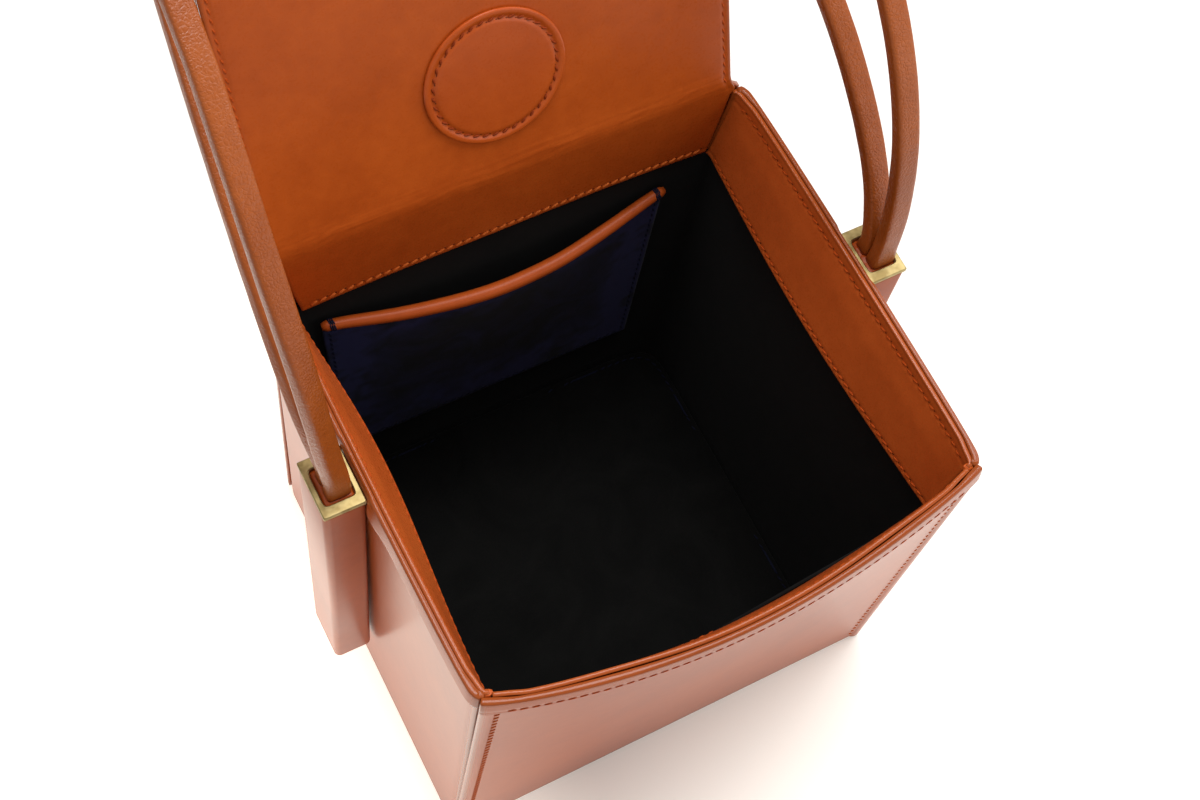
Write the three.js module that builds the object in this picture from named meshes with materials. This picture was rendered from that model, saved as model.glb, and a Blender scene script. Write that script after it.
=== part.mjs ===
// Box handbag: four leather walls on a base, a stiff lid folded open along the back rim, a suede
// lining with a slip pocket, and two rolled handles rising from metal frames on side blocks.
// Millimetres, +Z up. The front faces -Y and the lid hinges along the back, at +Y.
// The origin is the centre of the base, on the surface that the bag stands on.
import * as THREE from 'three';

// Outer box
const RIM_WIDTH = 165;
const RIM_DEPTH = 150;
const RIM_HEIGHT = 167;
const BASE_WIDTH = 169;
const BASE_DEPTH = 146;
const BASE_CORNER = 4;
const PANEL_THICK = 2.2;
const GAP = 0.3;

// Inner leather bands and suede lining
const FACING_THICK = 1.5;
const FACING_TALL = 32;
const FACING_DROP = 0.6;
const LINING_THICK = 1.2;
const FLOOR_CORNER = 9;

// Slip pocket on the back lining, measured across from the middle of the bag
const POCKET = { left: -68, right: 57, narrowing: 4, top: 124, bottom: 31, thick: 1.2, sag: 4, mouth: 8.5 };
const PIPING = { endRadius: 1.8, middleRadius: 2.8, overhang: 1.5 };

// Lid, open angle counted from closed; it sits a little off the middle, as the patch does on it
const LID_WIDTH = 161;
const LID_LENGTH = 152;
const LID_CORNER = 4;
const LID_ACROSS = -0.9;
const LID_OPEN_DEG = 110.5;
const LID_INNER_THICK = 1.6;
const LID_OUTER_THICK = 1.8;
const LID_THICK = LID_INNER_THICK + GAP + LID_OUTER_THICK;
const FOLD_LENGTH = 4;
const FOLD_WIDTH = RIM_WIDTH - 2 * (PANEL_THICK + GAP);
const PATCH = { radius: 23, thick: 1.2, fromHinge: 40.2, across: -1.7 };

// Side blocks, their metal frames and the handles
const BLOCK = { thick: 13.5, length: 19.6, middle: 3.5, bottom: 31, corner: 2.8, offWall: 0.3 };
const FRAME = { thick: 1.5, belowRim: 3, corner: 0.8, openThick: 9.4, openLength: 12.4, openCorner: 1.6 };
const STRAP = { wide: 4.8, thick: 7.6, corner: 1.9, spacing: 5.6, footAboveBlock: 0.3 };

// Each wall is made facing -Y and turned about +Z to its side. Reach is the distance of its outer
// face from the centre, span half its length. Bow is how far the rim swells out, roundness how soon
// the swelling falls off towards its ends, skew how much more there is of it at one end, and dip how
// far the rim sags. The leans are how far the inner band and the lining stand in from the wall.
const SIDE_BUTT = PANEL_THICK + GAP;
const BOW_RISE = 1.5;
const WALLS = [
  { side: 'front', turn: 0, rimReach: RIM_DEPTH / 2, baseReach: BASE_DEPTH / 2,
    rimSpan: RIM_WIDTH / 2, baseSpan: BASE_WIDTH / 2,
    bow: 13.5, roundness: 0.8, skew: 0.1, dip: 1.2, leanEnds: 2, leanMiddle: 3, floorLean: 6,
    ownsCorner: false, topDrop: 0 },
  { side: 'right', turn: 90, rimReach: RIM_WIDTH / 2, baseReach: BASE_WIDTH / 2,
    rimSpan: RIM_DEPTH / 2 - SIDE_BUTT, baseSpan: BASE_DEPTH / 2 - SIDE_BUTT,
    bow: 2.8, roundness: 0.15, skew: 0, dip: 0, leanEnds: 5.7, leanMiddle: 9.4, floorLean: 12.5,
    ownsCorner: true, topDrop: 0 },
  { side: 'back', turn: 180, rimReach: RIM_DEPTH / 2, baseReach: BASE_DEPTH / 2,
    rimSpan: RIM_WIDTH / 2, baseSpan: BASE_WIDTH / 2,
    bow: 0, roundness: 1, skew: 0, dip: 0, leanEnds: 1, leanMiddle: 1, floorLean: 3.2,
    ownsCorner: false, topDrop: 0.6 },
  { side: 'left', turn: 270, rimReach: RIM_WIDTH / 2, baseReach: BASE_WIDTH / 2,
    rimSpan: RIM_DEPTH / 2 - SIDE_BUTT, baseSpan: BASE_DEPTH / 2 - SIDE_BUTT,
    bow: 2.8, roundness: 0.15, skew: 0, dip: 0, leanEnds: 5.7, leanMiddle: 10.3, floorLean: 12.5,
    ownsCorner: true, topDrop: 0 },
];
const BACK_WALL = WALLS[2];
const SIDE_WALL = WALLS[1];

// Half of each handle from its foot to the middle of its arch: spread from the middle plane of the
// bag, distance back, and rise above the rim. Both lean back and arch behind the open lid.
const HANDLES = [
  { name: 'front_handle', footStep: -0.5, route: [
    { spread: 94.3, back: 4.1, rise: 20 },
    { spread: 95.1, back: 13.9, rise: 50 },
    { spread: 94.6, back: 33.5, rise: 80 },
    { spread: 92.7, back: 68.6, rise: 110 },
    { spread: 89, back: 124, rise: 140 },
    { spread: 76.5, back: 151, rise: 153 },
    { spread: 43, back: 171, rise: 161 },
    { spread: 0, back: 178, rise: 164 },
  ] },
  { name: 'back_handle', footStep: 0.5, route: [
    { spread: 94.9, back: 17.9, rise: 20 },
    { spread: 94.2, back: 46.8, rise: 50 },
    { spread: 89.5, back: 94, rise: 80 },
    { spread: 85, back: 132, rise: 98 },
    { spread: 79, back: 167, rise: 110 },
    { spread: 63, back: 198, rise: 117 },
    { spread: 35, back: 218, rise: 120 },
    { spread: 0, back: 225, rise: 121 },
  ] },
];
const HANDLE_STEPS = 76;
const FOOT_STRAIGHT = 5.5;

// Colours and finishes
const FINISH = {
  leather: { color: 0xa0481c, roughness: 0.45, metalness: 0 },
  suede: { color: 0x0d0d0f, roughness: 0.95, metalness: 0 },
  navy: { color: 0x11142e, roughness: 0.95, metalness: 0 },
  gold: { color: 0xc9a24a, roughness: 0.2, metalness: 1 },
};

const bag = new THREE.Group();

function addPiece(name, geometry, finish, parent = bag) {
  const mesh = new THREE.Mesh(geometry, new THREE.MeshStandardMaterial(FINISH[finish]));
  mesh.name = name;
  parent.add(mesh);
  return mesh;
}

const lerp = THREE.MathUtils.lerp;

// 0 at both ends and 1 in the middle, as a swelling wall has it
const swell = (u) => Math.sin(Math.PI * u);

// The same with flat ends, so that corners stay where they are
const softSwell = (u) => swell(u) ** 2;

// The hanging curve of the pocket's mouth
const hang = (u) => Math.max(swell(u), 0) ** 1.3;

// A sheet with thickness: columns across and rows up. place(u, v, w) gives the point for u across,
// v up and w through the thickness outwards, each from 0 to 1.
function sheet(columns, rows, place) {
  const geometry = new THREE.BoxGeometry(1, 1, 1, columns, rows, 1);
  const position = geometry.attributes.position;
  for (let i = 0; i < position.count; i += 1) {
    const u = position.getX(i) + 0.5;
    const v = position.getY(i) + 0.5;
    const w = position.getZ(i) + 0.5;
    position.setXYZ(i, ...place(u, v, w));
  }
  geometry.computeVertexNormals();
  return geometry;
}

// A rectangle with rounded corners about a centre, as a closed outline
function roundedRect(path, width, height, radius, centreX = 0, centreY = 0) {
  const right = centreX + width / 2;
  const top = centreY + height / 2;
  const left = centreX - width / 2;
  const bottom = centreY - height / 2;
  path.moveTo(right, bottom + radius);
  path.absarc(right - radius, top - radius, radius, 0, Math.PI / 2);
  path.absarc(left + radius, top - radius, radius, Math.PI / 2, Math.PI);
  path.absarc(left + radius, bottom + radius, radius, Math.PI, Math.PI * 1.5);
  path.absarc(right - radius, bottom + radius, radius, Math.PI * 1.5, Math.PI * 2);
  return path;
}

function extrude(shape, depth, curveSegments = 4) {
  return new THREE.ExtrudeGeometry(shape, { depth, curveSegments, bevelEnabled: false });
}

// Outer face of a wall at height z: the taper from base to rim, and the bow that grows upwards
function wallReach(wall, z, u) {
  const height = z / RIM_HEIGHT;
  const bow = wall.bow * Math.max(swell(u), 0) ** wall.roundness * (1 + wall.skew * (1 - 2 * u));
  return lerp(wall.baseReach, wall.rimReach, height) + bow * height ** BOW_RISE;
}

function wallSpan(wall, z) {
  return lerp(wall.baseSpan, wall.rimSpan, z / RIM_HEIGHT);
}

// How far the inner band stands in from the wall, by its depth below the rim
function facingLean(wall, depth, u) {
  const full = lerp(wall.leanEnds, wall.leanMiddle, softSwell(u));
  return full * (depth / FACING_TALL) ** 1.2;
}

// Outer face of the inner band, and of the lining below it
function facingReach(wall, z, u) {
  const depth = Math.max(RIM_HEIGHT - FACING_DROP - z, 0);
  return wallReach(wall, z, u) - PANEL_THICK - GAP - facingLean(wall, depth, u);
}

const LINING_TOP = RIM_HEIGHT - FACING_DROP - FACING_TALL - GAP;
const LINING_BOTTOM = PANEL_THICK + GAP;

function liningReach(wall, z, u) {
  const down = (LINING_TOP - z) / (LINING_TOP - LINING_BOTTOM);
  const lean = lerp(facingLean(wall, FACING_TALL, u), wall.floorLean, down);
  return wallReach(wall, z, u) - PANEL_THICK - GAP - lean;
}

// The side bands and side linings run the full depth, and the front and back ones fit between them
function innerSpan(wall, z, reach, thick) {
  return wall.ownsCorner ? wallSpan(wall, z) : reach(SIDE_WALL, z, 0) - thick - GAP;
}

function panelGeometry(wall) {
  const bottom = PANEL_THICK + GAP;
  const top = RIM_HEIGHT - wall.topDrop;
  return sheet(16, 8, (u, v, w) => {
    const z = lerp(bottom, top, v);
    const sagged = z - wall.dip * softSwell(u) * v ** 4;
    return [lerp(-1, 1, u) * wallSpan(wall, z), PANEL_THICK * (1 - w) - wallReach(wall, z, u), sagged];
  });
}

function facingGeometry(wall) {
  const top = RIM_HEIGHT - FACING_DROP - wall.topDrop;
  const bottom = RIM_HEIGHT - FACING_DROP - FACING_TALL;
  return sheet(16, 4, (u, v, w) => {
    const z = lerp(bottom, top, v);
    const sagged = z - wall.dip * softSwell(u) * v ** 4;
    const across = lerp(-1, 1, u) * innerSpan(wall, z, facingReach, FACING_THICK);
    return [across, FACING_THICK * (1 - w) - facingReach(wall, z, u), sagged];
  });
}

function liningGeometry(wall) {
  return sheet(12, 5, (u, v, w) => {
    const z = lerp(LINING_BOTTOM, LINING_TOP, v);
    const across = lerp(-1, 1, u) * innerSpan(wall, z, liningReach, LINING_THICK);
    return [across, LINING_THICK * (1 - w) - liningReach(wall, z, u), z];
  });
}

function addWalls() {
  for (const wall of WALLS) {
    const turned = new THREE.Group();
    turned.rotation.z = THREE.MathUtils.degToRad(wall.turn);
    bag.add(turned);
    addPiece(`${wall.side}_panel`, panelGeometry(wall), 'leather', turned);
    addPiece(`${wall.side}_facing`, facingGeometry(wall), 'leather', turned);
    addPiece(`${wall.side}_lining`, liningGeometry(wall), 'suede', turned);
  }
}

function addBase() {
  const outline = roundedRect(new THREE.Shape(), BASE_WIDTH, BASE_DEPTH, BASE_CORNER);
  addPiece('base_panel', extrude(outline, PANEL_THICK), 'leather');
}

function addLiningFloor() {
  const inner = (wall) => liningReach(wall, LINING_BOTTOM, 0) - LINING_THICK - GAP;
  const front = -inner(WALLS[0]);
  const back = inner(BACK_WALL);
  const width = 2 * inner(SIDE_WALL);
  const middle = (front + back) / 2;
  const outline = roundedRect(new THREE.Shape(), width, back - front, FLOOR_CORNER, 0, middle);
  const floor = addPiece('lining_floor', extrude(outline, LINING_THICK), 'suede');
  floor.position.z = LINING_BOTTOM;
}

// The pocket is drawn as its wall is, so its across runs from the bag's right to its left
function pocketAcross(u, v) {
  const right = -POCKET.right + POCKET.narrowing * (1 - v);
  const left = -POCKET.left - POCKET.narrowing * (1 - v);
  return lerp(right, left, u);
}

function pocketHeight(u, v) {
  return lerp(POCKET.bottom, POCKET.top - POCKET.sag * hang(u), v);
}

function pocketReach(u, v) {
  const z = pocketHeight(u, v);
  const lining = liningReach(BACK_WALL, z, 0.5) - LINING_THICK - GAP;
  return lining - POCKET.mouth * hang(u) * v ** 2;
}

function addPocket() {
  const turned = new THREE.Group();
  turned.rotation.z = Math.PI;
  bag.add(turned);
  const cloth = sheet(16, 6, (u, v, w) => [
    pocketAcross(u, v),
    POCKET.thick * (1 - w) - pocketReach(u, v),
    pocketHeight(u, v),
  ]);
  addPiece('pocket', cloth, 'navy', turned);

  const roll = new THREE.CylinderGeometry(1, 1, 1, 10, 24);
  const position = roll.attributes.position;
  for (let i = 0; i < position.count; i += 1) {
    const u = position.getY(i) + 0.5;
    const radius = lerp(PIPING.endRadius, PIPING.middleRadius, Math.max(swell(u), 0) ** 0.6);
    const across = pocketAcross(u, 1) + lerp(-PIPING.overhang, PIPING.overhang, u);
    const centreY = Math.max(POCKET.thick / 2, radius) - pocketReach(u, 1);
    const centreZ = pocketHeight(u, 1) + GAP + radius;
    position.setXYZ(i, across, centreY + radius * position.getZ(i), centreZ + radius * position.getX(i));
  }
  roll.computeVertexNormals();
  addPiece('pocket_piping', roll, 'leather', turned);
}

// The hinge line runs along X over the back band's inner face, just above the rim. The lid's own
// frame has +Z along the lid and its inner face towards -Y.
const HINGE_Y = RIM_DEPTH / 2 - PANEL_THICK - GAP - FACING_THICK;
const HINGE_Z = RIM_HEIGHT + 2 * GAP;
const LID_LEAN = THREE.MathUtils.degToRad(LID_OPEN_DEG - 90);

function lidPlate(thick) {
  const tall = LID_LENGTH - FOLD_LENGTH - GAP;
  const outline = roundedRect(new THREE.Shape(), LID_WIDTH, tall, LID_CORNER);
  const plate = extrude(outline, thick);
  plate.rotateX(Math.PI / 2);
  plate.translate(0, thick, LID_LENGTH - tall / 2);
  return plate;
}

function addLid() {
  const lid = new THREE.Group();
  lid.position.set(LID_ACROSS, HINGE_Y, HINGE_Z);
  lid.rotation.x = -LID_LEAN;
  bag.add(lid);
  addPiece('lid_inner', lidPlate(LID_INNER_THICK), 'leather', lid);
  const outer = addPiece('lid_outer', lidPlate(LID_OUTER_THICK), 'leather', lid);
  outer.position.y = LID_INNER_THICK + GAP;
  const disc = new THREE.CylinderGeometry(PATCH.radius, PATCH.radius, PATCH.thick, 48);
  const patch = addPiece('lid_patch', disc, 'leather', lid);
  patch.position.set(PATCH.across, -GAP - PATCH.thick / 2, PATCH.fromHinge);
}

// The fold is a wedge of leather from the tops of the back wall and band up to the lid's lower edge
function addFold() {
  const along = new THREE.Vector2(Math.sin(LID_LEAN), Math.cos(LID_LEAN));
  const outwards = new THREE.Vector2(along.y, -along.x);
  const hinge = new THREE.Vector2(HINGE_Y, HINGE_Z);
  const inner = hinge.clone().addScaledVector(along, FOLD_LENGTH);
  const outer = inner.clone().addScaledVector(outwards, LID_THICK);
  const seat = RIM_HEIGHT - BACK_WALL.topDrop + GAP;
  const section = new THREE.Shape([
    new THREE.Vector2(HINGE_Y, seat),
    new THREE.Vector2(RIM_DEPTH / 2, seat),
    outer,
    inner,
    hinge,
  ]);
  const fold = extrude(section, FOLD_WIDTH);
  const across = new THREE.Vector3(1, 0, 0);
  const depth = new THREE.Vector3(0, 1, 0);
  const up = new THREE.Vector3(0, 0, 1);
  fold.applyMatrix4(new THREE.Matrix4().makeBasis(depth, up, across));
  fold.translate(-FOLD_WIDTH / 2, 0, 0);
  addPiece('lid_fold', fold, 'leather');
}

const BLOCK_INNER = RIM_WIDTH / 2 + SIDE_WALL.bow + BLOCK.offWall;
const BLOCK_CENTRE = BLOCK_INNER + BLOCK.thick / 2;
const FRAME_TOP = RIM_HEIGHT - FRAME.belowRim;
const BLOCK_TOP = FRAME_TOP - FRAME.thick - GAP;

function addBlocks() {
  for (const [side, sign] of [['left', -1], ['right', 1]]) {
    const centre = sign * BLOCK_CENTRE;
    const plan = new THREE.Shape();
    roundedRect(plan, BLOCK.thick, BLOCK.length, BLOCK.corner, centre, BLOCK.middle);
    const block = addPiece(`${side}_block`, extrude(plan, BLOCK_TOP - BLOCK.bottom), 'leather');
    block.position.z = BLOCK.bottom;

    const plate = new THREE.Shape();
    roundedRect(plate, BLOCK.thick, BLOCK.length, FRAME.corner, centre, BLOCK.middle);
    const opening = new THREE.Path();
    roundedRect(opening, FRAME.openThick, FRAME.openLength, FRAME.openCorner, centre, BLOCK.middle);
    plate.holes.push(opening);
    const frame = addPiece(`${side}_frame`, extrude(plate, FRAME.thick), 'gold');
    frame.position.z = FRAME_TOP - FRAME.thick;
  }
}

// A handle climbs from its right foot over the arch to its left foot, straight out of the frames
function handlePath(handle) {
  const footBack = BLOCK.middle + handle.footStep * STRAP.spacing;
  const footRise = BLOCK_TOP + STRAP.footAboveBlock - RIM_HEIGHT;
  const half = [
    { spread: BLOCK_CENTRE, back: footBack, rise: footRise },
    { spread: BLOCK_CENTRE, back: footBack, rise: footRise + FOOT_STRAIGHT },
    ...handle.route,
  ];
  const mirrored = half.slice(0, -1).reverse().map((row) => ({ ...row, spread: -row.spread }));
  const points = [...half, ...mirrored].map(
    (row) => new THREE.Vector3(row.spread, row.back, RIM_HEIGHT + row.rise),
  );
  return new THREE.CatmullRomCurve3(points);
}

function addHandles() {
  for (const handle of HANDLES) {
    const section = roundedRect(new THREE.Shape(), STRAP.thick, STRAP.wide, STRAP.corner);
    const strap = new THREE.ExtrudeGeometry(section, {
      extrudePath: handlePath(handle),
      steps: HANDLE_STEPS,
      curveSegments: 1,
      bevelEnabled: false,
    });
    addPiece(handle.name, strap, 'leather');
  }
}

addBase();
addWalls();
addLiningFloor();
addPocket();
addLid();
addFold();
addBlocks();
addHandles();

export default bag;
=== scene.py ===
# Box handbag with an open lid: leather, suede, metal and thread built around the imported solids
import math

import bmesh
import bpy
from mathutils import Matrix, Vector, noise
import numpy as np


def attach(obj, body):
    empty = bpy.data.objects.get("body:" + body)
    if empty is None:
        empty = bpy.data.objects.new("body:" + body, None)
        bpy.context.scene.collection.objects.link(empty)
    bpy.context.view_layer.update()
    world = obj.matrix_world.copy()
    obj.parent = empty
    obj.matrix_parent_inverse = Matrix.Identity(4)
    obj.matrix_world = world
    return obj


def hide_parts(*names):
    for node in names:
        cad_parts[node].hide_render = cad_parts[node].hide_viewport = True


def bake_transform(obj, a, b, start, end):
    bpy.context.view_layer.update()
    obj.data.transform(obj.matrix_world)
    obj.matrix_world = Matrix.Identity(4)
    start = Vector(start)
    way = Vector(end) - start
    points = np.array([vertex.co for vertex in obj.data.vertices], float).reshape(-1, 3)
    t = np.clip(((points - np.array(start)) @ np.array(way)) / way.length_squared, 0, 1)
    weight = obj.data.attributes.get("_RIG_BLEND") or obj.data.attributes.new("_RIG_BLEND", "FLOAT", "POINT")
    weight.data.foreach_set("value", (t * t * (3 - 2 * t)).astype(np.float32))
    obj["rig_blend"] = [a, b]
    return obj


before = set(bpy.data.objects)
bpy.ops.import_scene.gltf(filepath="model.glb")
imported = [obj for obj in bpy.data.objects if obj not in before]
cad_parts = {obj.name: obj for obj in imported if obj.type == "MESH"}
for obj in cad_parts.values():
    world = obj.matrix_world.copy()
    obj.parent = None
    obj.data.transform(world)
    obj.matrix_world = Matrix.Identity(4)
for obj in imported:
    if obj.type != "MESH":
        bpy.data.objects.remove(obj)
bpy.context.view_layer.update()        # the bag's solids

mm = 0.001
print("frame loaded:", len(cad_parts), "solids")

# sizes in mm, as the solids have them; only the lid's leather is a little narrower than its solid
bagForm = {
    "rimWidth": 165.0, "rimDepth": 150.0, "rimHeight": 167.0,
    "baseWidth": 169.0, "baseDepth": 146.0,
    "panelThick": 2.2, "gap": 0.3,
    "bandThick": 1.5, "bandTall": 32.0, "bandDrop": 0.6,
    "liningThick": 1.2,
    "lidWidth": 159.6, "lidLength": 152.0, "lidOpen": 110.5, "lidAcross": -2.3,
}
rimHeight = bagForm["rimHeight"]
panelThick, gap = bagForm["panelThick"], bagForm["gap"]
bandThick, bandTall = bagForm["bandThick"], bagForm["bandTall"]
lidWidth, lidLength = bagForm["lidWidth"], bagForm["lidLength"]
butt = panelThick + gap
halfWide = {"rim": bagForm["rimWidth"] / 2, "base": bagForm["baseWidth"] / 2}
halfDeep = {"rim": bagForm["rimDepth"] / 2, "base": bagForm["baseDepth"] / 2}

# each wall is shaped facing -Y, then turned about Z to its side
wallForm = {
    "front": {"turn": 0, "reach": halfDeep, "span": halfWide, "spanLess": 0.0,
              "bow": 13.5, "roundness": 0.8, "skew": 0.1, "dip": 1.2, "proud": 1.0,
              "leanEnds": 2.0, "leanMiddle": 3.0, "leanShape": 2.0, "leanSkew": 1.0, "floorLean": 6.0},
    "right": {"turn": 90, "reach": halfWide, "span": halfDeep, "spanLess": butt,
              "bow": 2.8, "roundness": 0.15, "skew": 0.0, "dip": 0.0, "proud": 0.3,
              "leanEnds": 5.7, "leanMiddle": 9.4, "leanShape": 1.0, "leanSkew": 1.0, "floorLean": 12.5},
    "back": {"turn": 180, "reach": halfDeep, "span": halfWide, "spanLess": 0.0,
             "bow": 0.0, "roundness": 1.0, "skew": 0.0, "dip": 0.0, "proud": 1.0,
             "leanEnds": 1.0, "leanMiddle": 1.0, "leanShape": 2.0, "leanSkew": 1.0, "floorLean": 3.2},
    "left": {"turn": 270, "reach": halfWide, "span": halfDeep, "spanLess": butt,
             "bow": 2.8, "roundness": 0.15, "skew": 0.0, "dip": 0.0, "proud": 1.0,
             "leanEnds": 5.7, "leanMiddle": 10.3, "leanShape": 2.0, "leanSkew": 0.76, "floorLean": 12.5},
}


def lerp(a, b, t):
    return a + (b - a) * t


def ease(low, high, t):
    t = min(max((t - low) / (high - low), 0.0), 1.0)
    return t * t * (3 - 2 * t)


def swell(u):
    return max(math.sin(math.pi * min(max(u, 0.0), 1.0)), 0.0)


def ridge(distance, width):
    return math.exp(-(distance / width) ** 2)


def crowd(t, pull):
    return (1 - pull) * t + pull * (0.5 - 0.5 * math.cos(math.pi * t))    # more columns near both ends


def waver(x, y, z):
    return noise.noise(Vector((x, y, z)))


def turnedPoint(x, y, z, turn):
    a = math.radians(turn)
    return Vector((x * math.cos(a) - y * math.sin(a), x * math.sin(a) + y * math.cos(a), z))


def wallReach(wall, z, u):
    h = max(z / rimHeight, 0.0)
    bow = wall["bow"] * swell(u) ** wall["roundness"] * (1 + wall["skew"] * (1 - 2 * u))
    return lerp(wall["reach"]["base"], wall["reach"]["rim"], h) + bow * h ** 1.5


def wallSpan(wall, z):
    return lerp(wall["span"]["base"], wall["span"]["rim"], z / rimHeight) - wall["spanLess"]


def bandLean(wall, depth, u):
    u = min(max(u, 0.0), 1.0) ** wall["leanSkew"]
    full = lerp(wall["leanEnds"], wall["leanMiddle"], swell(u) ** wall["leanShape"])
    return full * (max(depth, 0.0) / bandTall) ** 1.2


def bandReach(wall, z, u):
    depth = rimHeight - bagForm["bandDrop"] - z
    return wallReach(wall, z, u) - butt - bandLean(wall, depth, u)


# materials

finishes = {}    # this script's materials; the frame has its own with some of the same names


def startMaterial(name):
    material = bpy.data.materials.new(name)
    finishes[name] = material
    material.use_nodes = True
    tree = material.node_tree
    coords = tree.nodes.new("ShaderNodeTexCoord").outputs["Object"]
    return tree, tree.nodes["Principled BSDF"], coords


def setInputs(tree, node, inputs):
    # each input gets a link from a socket, or a value
    for name, value in inputs.items():
        if isinstance(value, bpy.types.NodeSocket):
            tree.links.new(value, node.inputs[name])
        else:
            node.inputs[name].default_value = value


def addNode(tree, kind, inputs, **settings):
    node = tree.nodes.new("ShaderNode" + kind)
    for name, value in settings.items():
        setattr(node, name, value)
    setInputs(tree, node, inputs)
    return node


def addMath(tree, operation, *values):
    return addNode(tree, "Math", dict(enumerate(values)), operation=operation).outputs[0]


def addNoise(tree, coords, scale, detail=2.0, rough=0.5, distortion=0.0):
    inputs = {"Vector": coords, "Scale": scale, "Detail": detail, "Roughness": rough,
              "Distortion": distortion}
    return addNode(tree, "TexNoise", inputs).outputs["Fac"]


def addRange(tree, value, low, high, fade="LINEAR"):
    inputs = {"Value": value, "To Min": low, "To Max": high}
    return addNode(tree, "MapRange", inputs, interpolation_type=fade).outputs["Result"]


def addRamp(tree, value, stops):
    ramp = addNode(tree, "ValToRGB", {"Fac": value})
    elements = ramp.color_ramp.elements
    while len(elements) < len(stops):
        elements.new(0.5)
    for element, (place, colour) in zip(elements, stops):
        element.position = place
        element.color = (*colour, 1.0)
    return ramp.outputs["Color"]


def addAttribute(tree, name):
    return addNode(tree, "Attribute", {}, attribute_name=name).outputs["Fac"]


def addBump(tree, shader, height, strength, distance):
    bump = addNode(tree, "Bump", {"Height": height, "Strength": strength, "Distance": distance})
    tree.links.new(bump.outputs["Normal"], shader.inputs["Normal"])


leatherLook = {
    "dark": (0.36, 0.057, 0.0065), "mid": (0.43, 0.071, 0.0085), "light": (0.49, 0.087, 0.0110),
    "blotchScale": 22.0, "mottleScale": 260.0, "poreScale": 1900.0, "grainScale": 900.0,
    "roughLow": 0.24, "roughHigh": 0.32, "ior": 1.33, "bump": 0.07, "bumpDepth": 0.00014,
    # edgeShade is painted shade that darkens the cut and turned edges; polish makes them less rough
    "edgeShade": (0.20, 0.047, 0.010), "edgeShadeShare": 0.5, "polish": 0.45, "shadeAndPolishFrom": 0.3, "shadeAndPolishTo": 1.5,
    "wrinkleWarp": 0.0016,
}
leatherKinds = {
    "tan_leather": {},
    # a darker copy of the tan leather: painted shade on the outer walls and the side posts
    "shaded_wall_leather": {"bump": 0.0, "roughLow": 0.28, "roughHigh": 0.28, "dark": (0.30, 0.053, 0.0075),
                     "mid": (0.355, 0.066, 0.010), "light": (0.40, 0.079, 0.0125)},
    "lid_leather": {"creaseScale": (28.0, 300.0, 620.0), "creaseShade": 1.6, "ior": 1.27,
                    "dark": (0.355, 0.059, 0.0065), "mid": (0.43, 0.074, 0.0085),
                    "light": (0.50, 0.092, 0.0110)},
    # a brighter copy of the tan leather: painted light on the inner bands
    "lit_band_leather": {"dark": (0.43, 0.078, 0.0125), "mid": (0.505, 0.096, 0.0160),
                     "light": (0.57, 0.116, 0.0195)},
    # a darker copy of the tan leather: painted shade on the handles; their wrinkles, bump and roughness are
    # their own
    "strap_leather": {"wrinkleScale": 820.0, "bump": 0.34, "bumpDepth": 0.00024, "roughLow": 0.27,
                      "roughHigh": 0.37, "ior": 1.39, "dark": (0.245, 0.050, 0.0060),
                      "mid": (0.300, 0.066, 0.0088), "light": (0.355, 0.082, 0.0116)},
    "roll_leather": {"roughLow": 0.36, "roughHigh": 0.46, "ior": 1.30, "dark": (0.31, 0.052, 0.0065),
                     "mid": (0.37, 0.065, 0.0085), "light": (0.43, 0.080, 0.0110)},
    "pressed_leather": {"roughLow": 0.26, "roughHigh": 0.38},
}


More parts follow.
